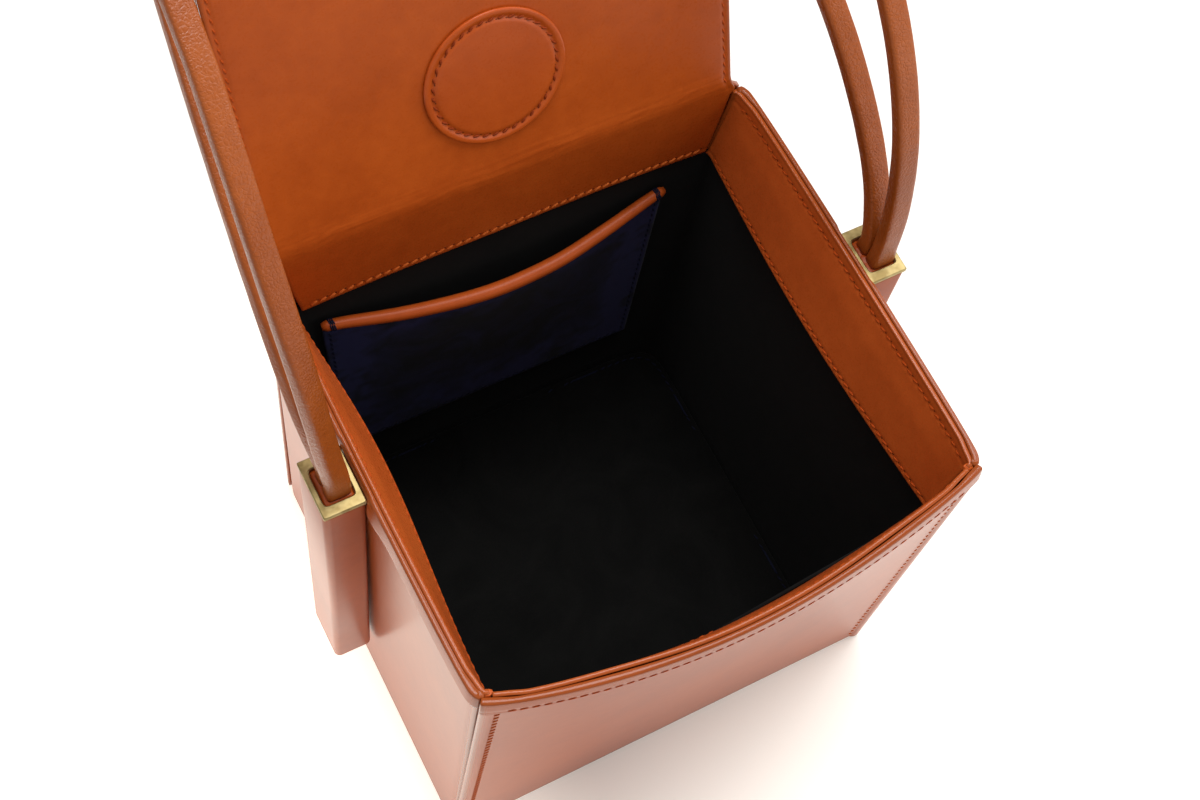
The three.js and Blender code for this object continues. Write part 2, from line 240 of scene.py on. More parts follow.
def leatherMaterial(name, look):
    tree, shader, coords = startMaterial(name)
    blotch = addNoise(tree, coords, look["blotchScale"], 3.0, 0.55)
    mottle = addNoise(tree, coords, look["mottleScale"], 2.0, 0.6)
    grain = addNoise(tree, coords, look["grainScale"], 3.0, 0.6)
    pores = addNode(tree, "TexVoronoi", {"Vector": coords, "Scale": look["poreScale"]}, feature="SMOOTH_F1")
    tone = addMath(tree, "MULTIPLY_ADD", blotch, 0.7, addMath(tree, "MULTIPLY", mottle, 0.3))
    height = addMath(tree, "MULTIPLY_ADD", pores.outputs["Distance"], 0.15, grain)
    if "creaseScale" in look:
        # fine creases across the fold of the lid, with painted shade in their valleys and painted light on
        # their crests
        stretch = addNode(tree, "Mapping", {"Vector": coords, "Scale": look["creaseScale"]})
        folds = addNoise(tree, stretch.outputs["Vector"], 1.0, 2.0, 0.5, 0.4)
        folds = addMath(tree, "SUBTRACT", folds, 0.5)
        creases = addMath(tree, "MULTIPLY", folds, addAttribute(tree, "crease"))
        tone = addMath(tree, "MULTIPLY_ADD", creases, look["creaseShade"], tone)
        height = addMath(tree, "MULTIPLY_ADD", creases, 9.0, height)
    if "wrinkleScale" in look:
        # lines between small warped cells
        scale, warp = look["wrinkleScale"], [look["wrinkleWarp"]] * 3
        push = addNode(tree, "TexNoise", {"Vector": coords, "Scale": scale * 0.7}).outputs["Color"]
        moved = addNode(tree, "VectorMath", {0: push, 1: warp, 2: coords}, operation="MULTIPLY_ADD")
        inputs = {"Vector": moved.outputs[0], "Scale": scale}
        cells = addNode(tree, "TexVoronoi", inputs, feature="DISTANCE_TO_EDGE")
        crack = addMath(tree, "MINIMUM", cells.outputs["Distance"], 0.25)
        height = addMath(tree, "MULTIPLY_ADD", crack, 4.0, height)
    colour = addRamp(tree, tone, [(0.3, look["dark"]), (0.5, look["mid"]), (0.7, look["light"])])
    # cut and turned edges: painted shade darkens them, and they are polished (less rough)
    edge = addAttribute(tree, "edge")
    share = addMath(tree, "MULTIPLY", edge, look["edgeShadeShare"])
    edgeShade = addNode(tree, "Mix", {"Factor": share, "A": colour, "B": (*look["edgeShade"], 1.0)}, data_type="RGBA")
    rough = addRange(tree, grain, look["roughLow"], look["roughHigh"])
    rough = addMath(tree, "MULTIPLY", rough, addRange(tree, edge, 1.0, 1.0 - look["polish"]))
    setInputs(tree, shader, {"Base Color": edgeShade.outputs["Result"], "Roughness": rough, "IOR": look["ior"]})
    addBump(tree, shader, height, look["bump"], look["bumpDepth"])


suedeKinds = {
    "black_suede": {"dark": (0.0018, 0.0018, 0.0016), "light": (0.0050, 0.0048, 0.0044),
                    "nap": 34.0, "sheen": 0.03},
    "navy_suede": {"dark": (0.0050, 0.0052, 0.0090), "light": (0.0200, 0.0215, 0.0830),
                   "nap": 42.0, "sheen": 0.05, "pale_nap": "pale_nap"},
}


def suedeMaterial(name, look):
    tree, shader, coords = startMaterial(name)
    nap = addNoise(tree, coords, look["nap"], 4.0, 0.6, 1.2)
    fuzz = addNoise(tree, coords, 2600.0, 2.0, 0.7)
    tone = addMath(tree, "MULTIPLY_ADD", nap, 0.75, addMath(tree, "MULTIPLY", fuzz, 0.25))
    if "pale_nap" in look:
        tone = addMath(tree, "MULTIPLY_ADD", tone, 0.75, addAttribute(tree, look["pale_nap"]))
    colour = addRamp(tree, tone, [(0.36, look["dark"]), (0.68, look["light"])])
    setInputs(tree, shader, {"Base Color": colour, "Roughness": 0.95, "Specular IOR Level": 0.15,
                             "Sheen Weight": look["sheen"], "Sheen Roughness": 0.5})
    addBump(tree, shader, fuzz, 0.35, 0.0003)


goldLook = {"dark": (0.27, 0.20, 0.08), "light": (0.47, 0.37, 0.17), "roughLow": 0.46, "roughHigh": 0.58}


def goldMaterial(name):
    tree, shader, coords = startMaterial(name)
    haze = addNoise(tree, coords, 260.0, 2.0, 0.55)
    colour = addRamp(tree, haze, [(0.36, goldLook["dark"]), (0.64, goldLook["light"])])
    rough = addRange(tree, haze, goldLook["roughLow"], goldLook["roughHigh"])
    setInputs(tree, shader, {"Base Color": colour, "Roughness": rough, "Metallic": 1.0})
    addBump(tree, shader, haze, 0.05, 0.0004)


# dark and light tone of each thread, and of the painted shade in the needle holes
threadTones = {
    "tan_thread": ((0.30, 0.040, 0.004), (0.50, 0.082, 0.010)),
    "pale_thread": ((0.44, 0.085, 0.012), (0.62, 0.15, 0.028)),
    "needle_hole_shade": ((0.10, 0.015, 0.003), (0.16, 0.025, 0.004)),
    "patch_thread": ((0.17, 0.022, 0.004), (0.30, 0.044, 0.007)),
    "dark_thread": ((0.004, 0.0045, 0.012), (0.012, 0.014, 0.035)),
}


def threadMaterial(name, dark, light):
    tree, shader, coords = startMaterial(name)
    strand = addNoise(tree, coords, 2400.0, 2.0, 0.6)
    colour = addRamp(tree, strand, [(0.35, dark), (0.65, light)])
    setInputs(tree, shader, {"Base Color": colour, "Roughness": 0.7, "Specular IOR Level": 0.1})
    addBump(tree, shader, strand, 0.4, 0.0002)


for name, changes in leatherKinds.items():
    leatherMaterial(name, dict(leatherLook, **changes))
for name, look in suedeKinds.items():
    suedeMaterial(name, look)
for name, tones in threadTones.items():
    threadMaterial(name, *tones)
goldMaterial("gold_metal")
print("materials ready")


# making pieces

def addPiece(name, bm, material, body, replaced=()):
    mesh = bpy.data.meshes.new(name)
    bm.to_mesh(mesh)
    bm.free()
    mesh.shade_smooth()
    mesh.materials.append(finishes[material])
    piece = bpy.data.objects.new(name, mesh)
    bpy.context.scene.collection.objects.link(piece)
    if replaced:
        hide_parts(*replaced)
    if body:
        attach(piece, body)
    return piece


def edgeRound(distance, thick, flat=0.0):
    t = min(max(distance / (thick * (1 - flat) * 0.6 + 1e-6), 0.0), 1.0)
    return flat + (1 - flat) * math.sqrt(max(1 - (1 - t) ** 2, 0.0))


def leatherSheet(place, columns, rows, thick, size, relief=None, pull=(0.8, 0.8), flat=(0.7, 0.9),
                 pared=None):
    # place(u, v) is the middle of the sheet in mm; flat is how square its edges are on the face
    # and the back; relief raises the face and pared thins the back
    bm = bmesh.new()
    bmesh.ops.create_grid(bm, x_segments=columns, y_segments=rows, size=0.5)
    across = bm.verts.layers.float.new("across")
    along = bm.verts.layers.float.new("along")
    edge = bm.verts.layers.float.new("edge")
    lift = bm.verts.layers.float_vector.new("lift")
    for v in bm.verts:
        v[across] = crowd(v.co.x + 0.5, pull[0])
        v[along] = crowd(v.co.y + 0.5, pull[1])
        v.co = place(v[across], v[along]) * mm
    bm.normal_update()
    for v in bm.verts:
        v[lift] = v.normal
    made = bmesh.ops.extrude_face_region(bm, geom=bm.faces[:])
    outside = {g for g in made["geom"] if isinstance(g, bmesh.types.BMVert)}
    for v in bm.verts:
        a, b = v[across], v[along]
        fromSide = min(a, 1 - a) * size[0]
        fromEnd = min(b, 1 - b) * size[1]
        v[edge] = 1 - ease(leatherLook["shadeAndPolishFrom"], leatherLook["shadeAndPolishTo"], min(fromSide, fromEnd))
        square = flat[0] if v in outside else flat[1]
        rim = edgeRound(fromSide, thick, square) * edgeRound(fromEnd, thick, square)
        push = thick / 2 * rim
        if v in outside:
            if relief:
                push += relief(a, b) * rim
            v.co += v[lift] * push * mm
        else:
            if pared:
                push -= pared(a, b)
            v.co -= v[lift] * push * mm
    bmesh.ops.remove_doubles(bm, verts=bm.verts[:], dist=1e-6)
    bmesh.ops.recalc_face_normals(bm, faces=bm.faces[:])
    bm.verts.layers.float_vector.remove(lift)
    bm.verts.layers.float.remove(along)    # the last layer first, so that "edge" stays
    bm.verts.layers.float.remove(across)
    return bm


def roundedBox(size, middle, corner, edge, lowOnly=False):
    # corner and edge are a radius and a number of segments
    bm = bmesh.new()
    bmesh.ops.create_cube(bm, size=1.0)
    bmesh.ops.scale(bm, verts=bm.verts[:], vec=[s * mm for s in size])
    bmesh.ops.translate(bm, verts=bm.verts[:], vec=middle * mm)

    def rise(e):
        return abs(e.verts[0].co.z - e.verts[1].co.z)

    def bevel(edges, form):
        bmesh.ops.bevel(bm, geom=edges, offset=form[0] * mm, segments=form[1], profile=0.5,
                        affect="EDGES", material=-1)
    bevel([e for e in bm.edges if rise(e) > 0.5 * size[2] * mm], corner)
    bevel([e for e in bm.edges if rise(e) < 1e-6 and not (lowOnly and e.verts[0].co.z > 1e-6)], edge)
    return bm


def extrudeRing(bm, verts):
    # extrudes a closed ring of edges and returns the new ring in the same order
    edges = [bm.edges.get((a, b)) for a, b in zip(verts, verts[1:] + verts[:1])]
    made = bmesh.ops.extrude_edge_only(bm, edges=edges)
    fresh = {g for g in made["geom"] if isinstance(g, bmesh.types.BMVert)}
    order = []
    for v in verts:
        order.append(next(e.other_vert(v) for e in v.link_edges if e.other_vert(v) in fresh))
    return order


def stackRings(bm, segments, count, place):
    # a pipe of rings: place(i, angle) is a point of the i-th ring in mm; returns the end rings
    ring = bmesh.ops.create_circle(bm, cap_ends=False, radius=1.0, segments=segments)["verts"]
    first = ring
    for i in range(count):
        if i:
            ring = extrudeRing(bm, ring)
        for k, v in enumerate(ring):
            v.co = place(i, 2 * math.pi * k / segments) * mm
    return first, ring


def closeEnds(bm, rings):
    for ring in rings:
        bmesh.ops.contextual_create(bm, geom=ring)
    bmesh.ops.recalc_face_normals(bm, faces=bm.faces[:])


def squarePoint(angle, halfX, halfY, power):
    # a point on a rounded rectangle
    c, s = math.cos(angle), math.sin(angle)
    return math.copysign(abs(c) ** (2 / power), c) * halfX, math.copysign(abs(s) ** (2 / power), s) * halfY


def tubeAlong(bm, points, sides, section):
    # a closed tube: section(i, angle) gives its reach across and up at the i-th point
    frames = []
    normal = None
    for before, after in zip(points[:1] + points, points[1:] + points[-1:]):
        tangent = (after - before).normalized()
        if normal is None:
            normal = Vector((1, 0, 0)) if abs(tangent.x) < 0.7 else Vector((0, 0, 1))
        normal = (normal - tangent * normal.dot(tangent)).normalized()
        frames.append((normal, tangent.cross(normal)))

    def place(i, angle):
        a, b = section(i, angle)
        return points[i] + frames[i][0] * a + frames[i][1] * b
    closeEnds(bm, stackRings(bm, sides, len(points), place))


# stitches

stitchLook = {"pitch": 3.2, "fill": 0.76, "radius": 0.42, "lift": 0.02, "slant": 0.28}


def surfaceSpot(place, u, v, lift):
    step = 0.002
    across = place(min(u + step, 1), v) - place(max(u - step, 0), v)
    up = place(u, min(v + step, 1)) - place(u, max(v - step, 0))
    normal = across.cross(up).normalized()
    return place(u, v) + normal * lift, normal


def seamAcross(place, v, lift):
    return lambda t: surfaceSpot(place, t, v, lift)


def seamUp(place, u, lift):
    return lambda t: surfaceSpot(place, u, t, lift)


def joinOn(bm, part):
    mesh = bpy.data.meshes.new("part")
    part.to_mesh(mesh)
    part.free()
    bm.from_mesh(mesh)
    bpy.data.meshes.remove(mesh)


def addBead(bm, centre, axes, around, along):
    # a sphere stretched along three axes
    columns = [*axes, centre]
    spin = Matrix([[column[r] for column in columns] for r in range(3)] + [[0, 0, 0, 1]])
    bmesh.ops.create_uvsphere(bm, u_segments=around, v_segments=along, radius=1.0, matrix=spin)


def runLengths(points):
    lengths = [0.0]
    for a, b in zip(points, points[1:]):
        lengths.append(lengths[-1] + (b - a).length)
    return lengths


def stitchRow(bm, spot, look, start=0.0, end=1.0, holeShade=None):
    # spot(t) gives a point in mm on the seam and the leather's normal there; a flat dark bead of painted
    # shade marks the needle hole at the end of each stitch
    count = 160
    places = [lerp(start, end, i / count) for i in range(count + 1)]
    points = [spot(t)[0] for t in places]
    lengths = runLengths(points)
    number = max(int(lengths[-1] / look["pitch"]), 1)
    radius = look["radius"] * mm
    half = look["pitch"] * look["fill"] / 2 * mm
    row, rowHoleShade = bmesh.new(), bmesh.new()
    j = 0
    for i in range(number):
        s = (i + 0.5) * lengths[-1] / number
        while lengths[j + 1] < s:
            j += 1
        part = (s - lengths[j]) / max(lengths[j + 1] - lengths[j], 1e-9)
        point, normal = spot(lerp(places[j], places[j + 1], part))
        tangent = (points[j + 1] - points[j]).normalized()
        side = normal.cross(tangent).normalized()
        tangent = (tangent + side * look["slant"]).normalized()
        side = normal.cross(tangent).normalized()
        centre = (point + normal * look["lift"]) * mm
        addBead(row, centre, (side * radius, normal * radius, tangent * half), 8, 6)
        if holeShade is not None:
            dip = (point + tangent * look["pitch"] * 0.5) * mm
            addBead(rowHoleShade, dip, (side * radius * 0.9, normal * radius * 0.4, tangent * radius), 6, 4)
    joinOn(bm, row)
    if holeShade is not None:
        joinOn(holeShade, rowHoleShade)


# outer walls: a turned edge along the rim, a bead and a seam along the front corners

wallLook = {
    "columns": 110, "rows": 150, "foot": 0.3,
    "turnedEdge": 6.2, "edgeProud": 1.1, "edgeStep": 1.4,
    "edgeSeam": 5.3, "groove": 0.16, "grooveWide": 0.6, "threadProud": 0.12, "threadEnds": 6.5,
    "pared": 0.6, "paredFrom": 2.0, "paredTall": 14.0, "cornerFrom": 3.0, "cornerTo": 10.0,
    "beadWide": 3.6, "beadProud": 0.8, "seamFrom": 4.7, "seamLean": 1.3, "tuck": 0.5, "tuckLength": 4.0,
    "postFrom": 9.9, "postTo": 11.8, "behindPost": 0.2, "press": 0.45,
    "besidePost": 0.8, "besideAt": 15.0, "besideWide": 6.0,
    "baseInset": 2.4, "baseCorner": (4.0, 5), "baseEdge": (0.8, 3),
}
edgeStitches = dict(stitchLook, radius=0.17, slant=0.15, pitch=3.4)
cornerStitches = dict(stitchLook, radius=0.19, pitch=3.5, fill=0.60, lift=0.10)


def panelPlace(wall, tucked):
    def place(u, v):
        z = lerp(wallLook["foot"], rimHeight, v)
        reach = wallReach(wall, z, u) - panelThick / 2
        span = wallSpan(wall, z)
        if tucked:
            fromEnd = min(u, 1 - u) * 2 * span
            reach -= wallLook["tuck"] * (1 - ease(0, wallLook["tuckLength"], fromEnd)) ** 2
        sag = wall["dip"] * swell(u) ** 2 * v ** 4
        return turnedPoint(lerp(-1, 1, u) * span, -reach, z - sag, wall["turn"])
    return place


def edgeProud(below):
    # the folded edge stands out more towards its lower side, then steps back to the wall
    edge = wallLook["turnedEdge"]
    rise = min(below / edge, 1.0) ** 0.8
    return wallLook["edgeProud"] * rise * (1 - ease(edge, edge + wallLook["edgeStep"], below))


def panelRelief(wall, beaded):
    look = wallLook
    tall = rimHeight - look["foot"]
    half = wall["span"]["rim"]
    postMiddle = math.sin(math.radians(wall["turn"])) * blockForm["middle"]

    def relief(u, v):
        below = (1 - v) * tall
        out = edgeProud(below) * wall["proud"]
        if beaded:
            out -= look["groove"] * ridge(below - look["edgeSeam"], look["grooveWide"])
            fromEnd = min(u, 1 - u) * 2 * half
            bead = look["beadProud"] * math.sqrt(max(1 - (2 * fromEnd / look["beadWide"] - 1) ** 2, 0.0))
            return max(out, bead * ease(5.0, 8.0, below))
        # pressed in behind the side post
        fromPost = abs(lerp(-1, 1, u) * half - postMiddle)
        pressed = out - look["press"] * max(1 - below / look["turnedEdge"], 0.0)
        out *= 1 + look["besidePost"] * ridge(fromPost - look["besideAt"], look["besideWide"])
        return lerp(min(pressed, look["behindPost"]), out, ease(look["postFrom"], look["postTo"], fromPost))
    return relief


def offCorner(fromEnd):
    return ease(wallLook["cornerFrom"], wallLook["cornerTo"], fromEnd)


def rimPared(below, fromEnd):
    # the leather is pared towards the rim, except near the corners
    thinned = 1 - ease(wallLook["paredFrom"], wallLook["paredTall"], below)
    return wallLook["pared"] * thinned * offCorner(fromEnd)


def makeWalls():
    look = wallLook
    thick = panelThick
    for side in ("front", "right", "left"):
        wall = wallForm[side]
        beaded = side == "front"
        size = (2 * wall["span"]["rim"], rimHeight)

        def pared(u, v):
            full = 1 - min(standOff(u), 1.0) if beaded else 1.0
            return rimPared((1 - v) * size[1], min(u, 1 - u) * size[0]) * full
        bm = leatherSheet(panelPlace(wall, not beaded), look["columns"], look["rows"], thick, size,
                          panelRelief(wall, beaded), (0.82, 0.82), pared=pared)
        addPiece(side + "_wall", bm, "shaded_wall_leather", "body", [side + "_panel"])

    front = panelPlace(wallForm["front"], False)
    wide = 2 * wallForm["front"]["span"]["rim"]
    edgeV = 1 - look["edgeSeam"] / rimHeight
    lift = thick / 2 + edgeProud(look["edgeSeam"]) - look["groove"] + look["threadProud"]
    ends = look["threadEnds"] / wide
    threads = bmesh.new()
    stitchRow(threads, seamAcross(front, edgeV, lift), edgeStitches, ends, 1 - ends)
    addPiece("wall_stitches", threads, "tan_thread", "body")
    ticks = bmesh.new()
    seam = look["seamFrom"] / wide
    for u, lean in ((seam, -look["seamLean"]), (1 - seam, look["seamLean"])):
        stitchRow(ticks, seamUp(front, u, thick / 2), dict(cornerStitches, slant=lean), 0.02, edgeV - 0.008)
    addPiece("corner_stitches", ticks, "pale_thread", "body")

    less = 2 * look["baseInset"]
    size = (bagForm["baseWidth"] - less, bagForm["baseDepth"] - less, thick)
    base = roundedBox(size, Vector((0, 0, thick / 2)), look["baseCorner"], look["baseEdge"], lowOnly=True)
    addPiece("base_leather", base, "tan_leather", "body", ["base_panel"])
    print("outer walls and base made")


# inner bands: smooth leather below the rim, stitched along both edges, leaning into the bag

bandLook = {
    "columns": 100, "rows": 44, "overlap": 0.25,
    "topSeam": 4.0, "lowSeam": 1.7, "groove": 0.26, "grooveWide": 0.6, "threadProud": 0.06,
    "frontCurl": 0.1, "sideCurl": 0.3, "curlLength": 3.6, "raise": 0.3, "close": 0.2,
    "standOff": ((0.22, 0.14, 0.9), (0.80, 0.12, 0.6)),
    "tuck": (1.6, 1.3, 1.3), "tuckIn": 0.3, "tuckDown": 1.7, "crumple": 0.22,
}


def standOff(u):
    # how far the front band stands off the wall, on both sides of its middle
    return sum(far * ridge(u - middle, width) for middle, width, far in bandLook["standOff"])


def bandPlace(wall, ownsCorner):
    sideWall = wallForm["right"]

    def place(u, v):
        top = rimHeight - bagForm["bandDrop"]
        z = lerp(top - bandTall, top, v)
        span = wallSpan(wall, z)
        onWall = u
        if not ownsCorner:
            span = bandReach(sideWall, z, 0) - bandThick + bandLook["overlap"]
            onWall = 0.5 + (u - 0.5) * span / wallSpan(wall, z)
        fromEnd = min(u, 1 - u) * 2 * span
        reach = bandReach(wall, z, onWall) - bandThick / 2
        reach += rimPared(top - z, fromEnd) * (1 + bandLook["close"] / wallLook["pared"])
        reach += bandLook["close"] * (1 - offCorner(fromEnd))
        if not ownsCorner:
            reach -= standOff(u)
        curl = bandLook["sideCurl"] if ownsCorner else bandLook["frontCurl"] * (0.35 + 0.65 * v)
        reach -= curl * (1 - ease(0, bandLook["curlLength"], fromEnd)) ** 1.5
        sag = wall["dip"] * swell(u) ** 2 * v ** 4 - bandLook["raise"] * v
        return turnedPoint(lerp(-1, 1, u) * span, -reach, z - sag, wall["turn"])
    return place


def bandRelief(u, v):
    below = (1 - v) * bandTall
    above = v * bandTall
    out = -bandLook["groove"] * ridge(below - bandLook["topSeam"], bandLook["grooveWide"])
    return out - bandLook["groove"] * ridge(above - bandLook["lowSeam"], bandLook["grooveWide"])


def flipped(place):
    return lambda u, v: place(1 - u, v)    # turns a sheet's face to the inside of the bag


def makeBands():
    look = bandLook
    threads, holeShade = bmesh.new(), bmesh.new()
    lift = bandThick / 2 - look["groove"] + look["threadProud"]
    for side in ("front", "right", "left"):
        wall = wallForm[side]
        place = flipped(bandPlace(wall, side != "front"))
        size = (2 * wall["span"]["rim"], bandTall)
        bm = leatherSheet(place, look["columns"], look["rows"], bandThick, size, bandRelief,
                          (0.8, 0.7), (0.8, 0.92))
        addPiece(side + "_band", bm, "lit_band_leather", "body", [side + "_facing"])
        for v in (1 - look["topSeam"] / size[1], look["lowSeam"] / size[1]):
            stitchRow(threads, seamAcross(place, v, lift), stitchLook, 0.03, 0.97, holeShade)
    tucks = bmesh.new()
    for sign in (-1, 1):
        x = sign * (halfWide["rim"] - butt - look["tuckIn"])
        middle = Vector((x, butt - halfDeep["rim"], rimHeight - look["tuckDown"]))
        ball = bmesh.ops.create_icosphere(tucks, subdivisions=4, radius=1.0)
        for v in ball["verts"]:
            crumple = 1 + look["crumple"] * noise.noise(v.co * 2.1 + Vector((sign * 3.0, 0, 0)))
            v.co = (middle + v.co * Vector(look["tuck"]) * crumple) * mm
    addPiece("corner_tucks", tucks, "lit_band_leather", "body")
    addPiece("band_stitches", threads, "tan_thread", "body")
    addPiece("band_needle_hole_shade", holeShade, "needle_hole_shade", "body")
    print("inner bands made")


# lid: two leather layers that run through the fold into the back band and the back wall

lidLook = {
    "innerThick": 1.6, "outerThick": 2.0, "apart": 2.15, "bandLess": 1.4, "bandLean": 2.8, "wallLean": 0.7,
    "fold": 3.9, "foldMiddle": 3.9, "foldBack": 0.9, "bendBelow": 5.0, "bendAbove": 6.0,
    "corner": 4.0, "notch": (-1.2, 1.4), "sideGap": 0.5, "arch": 2.4, "wave": 0.5,
    "seam": 2.3, "lowSeam": 2.5, "seamStart": 5.0, "groove": 0.24, "grooveWide": 0.6,
    "threadSunk": 0.08, "frontSunk": 0.25, "lowProud": 0.2, "outerProud": 0.12,
    "wrinkle": 0.18, "wrinkleLength": 1.7, "wrinkleDrift": 1.6, "creaseAt": 7.0, "creaseWide": 4.0,
}
lowStitches = dict(stitchLook, radius=0.55, slant=0.55, pitch=3.1, fill=0.95)
hinge = Vector((0, halfDeep["rim"] - butt - bandThick, rimHeight + 2 * gap))
lidLean = math.radians(bagForm["lidOpen"] - 90)
upLid = Vector((0, math.sin(lidLean), math.cos(lidLean)))


def foldPath(offset, low, downLean):
    # points of a sheet's middle by distance s from the hinge: down the wall for s < 0, up the lid for s > 0
    step = 0.25
    fold, middle = lidLook["fold"], lidLook["foldMiddle"]

    def walk(sign, limit):
        y, z = hinge.y + lidLook["foldBack"], hinge.z
        spots = [(0.0, y, z, downLean)]
        for i in range(int(limit / step) + 2):
            s = sign * (i + 0.5) * step
            lean = lerp(downLean, lidLean, ease(middle - fold, middle + fold, s))
            y += sign * step * math.sin(lean)
            z += sign * step * math.cos(lean)
            spots.append((sign * (i + 1) * step, y, z, lean))
        return spots
    spots = list(reversed(walk(-1, low)))[:-1] + walk(1, lidLength + 2)

    def at(s):
        i = min(max((s - spots[0][0]) / step, 0), len(spots) - 1.001)
        k = int(i)
        a, b = spots[k], spots[k + 1]
        y, z, lean = (lerp(a[n], b[n], i - k) for n in (1, 2, 3))
        return y + offset * math.cos(lean), z - offset * math.sin(lean)
    return at


def lidHalfWidth(s, below):
    # the lid is a little narrower than the box; its free corners are rounded
    lid = lidWidth / 2
    corner = lidLook["corner"]
    over = max(s - (lidLength - corner), 0.0)
    lid -= corner - math.sqrt(max(corner ** 2 - over ** 2, 0.0))
    return lerp(below, lid, ease(*lidLook["notch"], s))


def lidAcross(s):
    return bagForm["lidAcross"] * ease(-1.0, 8.0, s)


def lidSeams(u, s):
    # depth of the grooves along the lid's sides and its free edge
    if s <= 2:
        return 0.0
    fromSide = min(u, 1 - u) * lidWidth
    fromFront = lidLength - s
    rows = sum(ridge(d - lidLook["seam"], lidLook["grooveWide"]) for d in (fromSide, fromFront))
    return lidLook["groove"] * rows


def foldWrinkle(s, drift):
    turn = (s + drift * lidLook["wrinkleDrift"]) / lidLook["wrinkleLength"]
    return lidLook["wrinkle"] * math.sin(2 * math.pi * turn)


def makeLidInside():
    look = lidLook
    bandLow = bandTall - look["bandLess"]
    total = bandLow + lidLength
    pathAt = foldPath(look["innerThick"] / 2, bandLow, math.radians(look["bandLean"]))

    def place(u, v):
        s = lerp(-bandLow, lidLength, v)
        y, z = pathAt(s)
        inBand = bandReach(wallForm["right"], min(z, rimHeight), 0) - bandThick - look["sideGap"]
        half = lidHalfWidth(s, inBand)
        wave = look["wave"] * math.sin(u * 9.0 + 0.6) * ridge(s + bandLow, 8.0)
        wave += look["arch"] * swell(u) * ridge(s + bandLow, 13.0)
        return Vector((lerp(-1, 1, u) * half + lidAcross(s), y, z + wave))

    def relief(u, v):
        s = lerp(-bandLow, lidLength, v)
        groove = look["groove"] * ridge(v * total - look["lowSeam"], look["grooveWide"]) + lidSeams(u, s)
        zone = ridge(s - 6.0, 5.0) * (0.5 + 0.8 * waver(u * 7, s * 0.2, 4.1))
        return zone * foldWrinkle(s, waver(u * 14, s * 0.05, 0.3)) - groove
    bm = leatherSheet(place, 120, 190, look["innerThick"], (lidWidth, total), relief, (0.7, 0.2))
    inner = addPiece("lid_inside_leather", bm, "lid_leather", None, ["lid_inner", "back_facing"])

    # crease weight along the fold: it carries the painted shade and light of the creases, and their bump
    crease = inner.data.attributes.new("crease", "FLOAT", "POINT")
    for v in inner.data.vertices:
        s = (v.co.z / mm - hinge.z) / upLid.z
        patchy = 0.6 + 0.8 * waver(v.co.x / mm * 0.03, s * 0.1, 3.0)
        crease.data[v.index].value = max(patchy, 0.0) * ridge(s - look["creaseAt"], look["creaseWide"])

    lift = look["innerThick"] / 2 - look["groove"] - look["threadSunk"]
    seamU = look["seam"] / lidWidth
    hingeV = (bandLow + look["seamStart"]) / total
    frontV = 1 - look["seam"] / total
    threads, holeShade = bmesh.new(), bmesh.new()
    for u in (seamU, 1 - seamU):
        stitchRow(threads, seamUp(place, u, lift), stitchLook, hingeV, frontV, holeShade)
    # sunk deeper along the front, where the closed lid meets the rim
    frontSeam = seamAcross(place, frontV, lift - look["frontSunk"])
    stitchRow(threads, frontSeam, stitchLook, seamU, 1 - seamU, holeShade)
    addPiece("lid_stitches", threads, "tan_thread", "lid")
    addPiece("lid_needle_hole_shade", holeShade, "needle_hole_shade", "lid")
    threads, holeShade = bmesh.new(), bmesh.new()
    lowSeam = seamAcross(place, look["lowSeam"] / total, lift + look["lowProud"])
    stitchRow(threads, lowSeam, lowStitches, 0.02, 0.98, holeShade)
    addPiece("back_band_stitches", threads, "pale_thread", "body")
    addPiece("back_band_needle_hole_shade", holeShade, "needle_hole_shade", "body")
    return inner


def makeLidOutside():
    look = lidLook
    backLow = rimHeight - wallLook["foot"]
    total = backLow + lidLength
    pathAt = foldPath(look["innerThick"] / 2 + look["apart"], backLow, math.radians(look["wallLean"]))

    def place(u, v):
        s = lerp(lidLength, -backLow, v)
        y, z = pathAt(s)
        half = lidHalfWidth(s, wallSpan(wallForm["back"], z))
        return Vector((lerp(-1, 1, u) * half + lidAcross(s), y, z))

    def relief(u, v):
        s = lerp(lidLength, -backLow, v)
        drift = waver(u * 11, s * 0.05, 7.3)
        return ridge(s - 2, 6) * foldWrinkle(s, drift) - lidSeams(u, s)
    bm = leatherSheet(place, 90, 230, look["outerThick"], (lidWidth, total), relief, (0.7, 0.2))
    outer = addPiece("back_and_lid_leather", bm, "tan_leather", None,
                     ["lid_outer", "back_panel", "lid_fold"])

    lift = look["outerThick"] / 2 - look["groove"] + look["outerProud"]
    seamU = look["seam"] / lidWidth
    frontV = look["seam"] / total
    hingeV = (lidLength - look["seamStart"]) / total
    threads = bmesh.new()
    for u in (seamU, 1 - seamU):
        stitchRow(threads, seamUp(place, u, lift), stitchLook, frontV, hingeV)
    stitchRow(threads, seamAcross(place, frontV, lift), stitchLook, seamU, 1 - seamU)
    addPiece("lid_back_stitches", threads, "tan_thread", "lid")
    return outer


def makeLid():
    # the leather bends between the wall and the lid as the lid closes
    start = (hinge - Vector((0, 0, lidLook["bendBelow"]))) * mm
    end = (hinge + upLid * lidLook["bendAbove"]) * mm
    for piece in (makeLidInside(), makeLidOutside()):
        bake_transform(piece, "body", "lid", start=tuple(start), end=tuple(end))
    print("lid made")


patchLook = {"radius": 23.0, "thick": 1.25, "fromHinge": 41.0, "across": -2.6, "puff": 0.3,
             "seam": 2.8, "groove": 0.5, "grooveWide": 0.8, "threadProud": 0.1,
             "edge": 0.55, "edgeWide": 1.1, "under": 0.05}
patchStitches = dict(stitchLook, slant=0.5, radius=0.44)


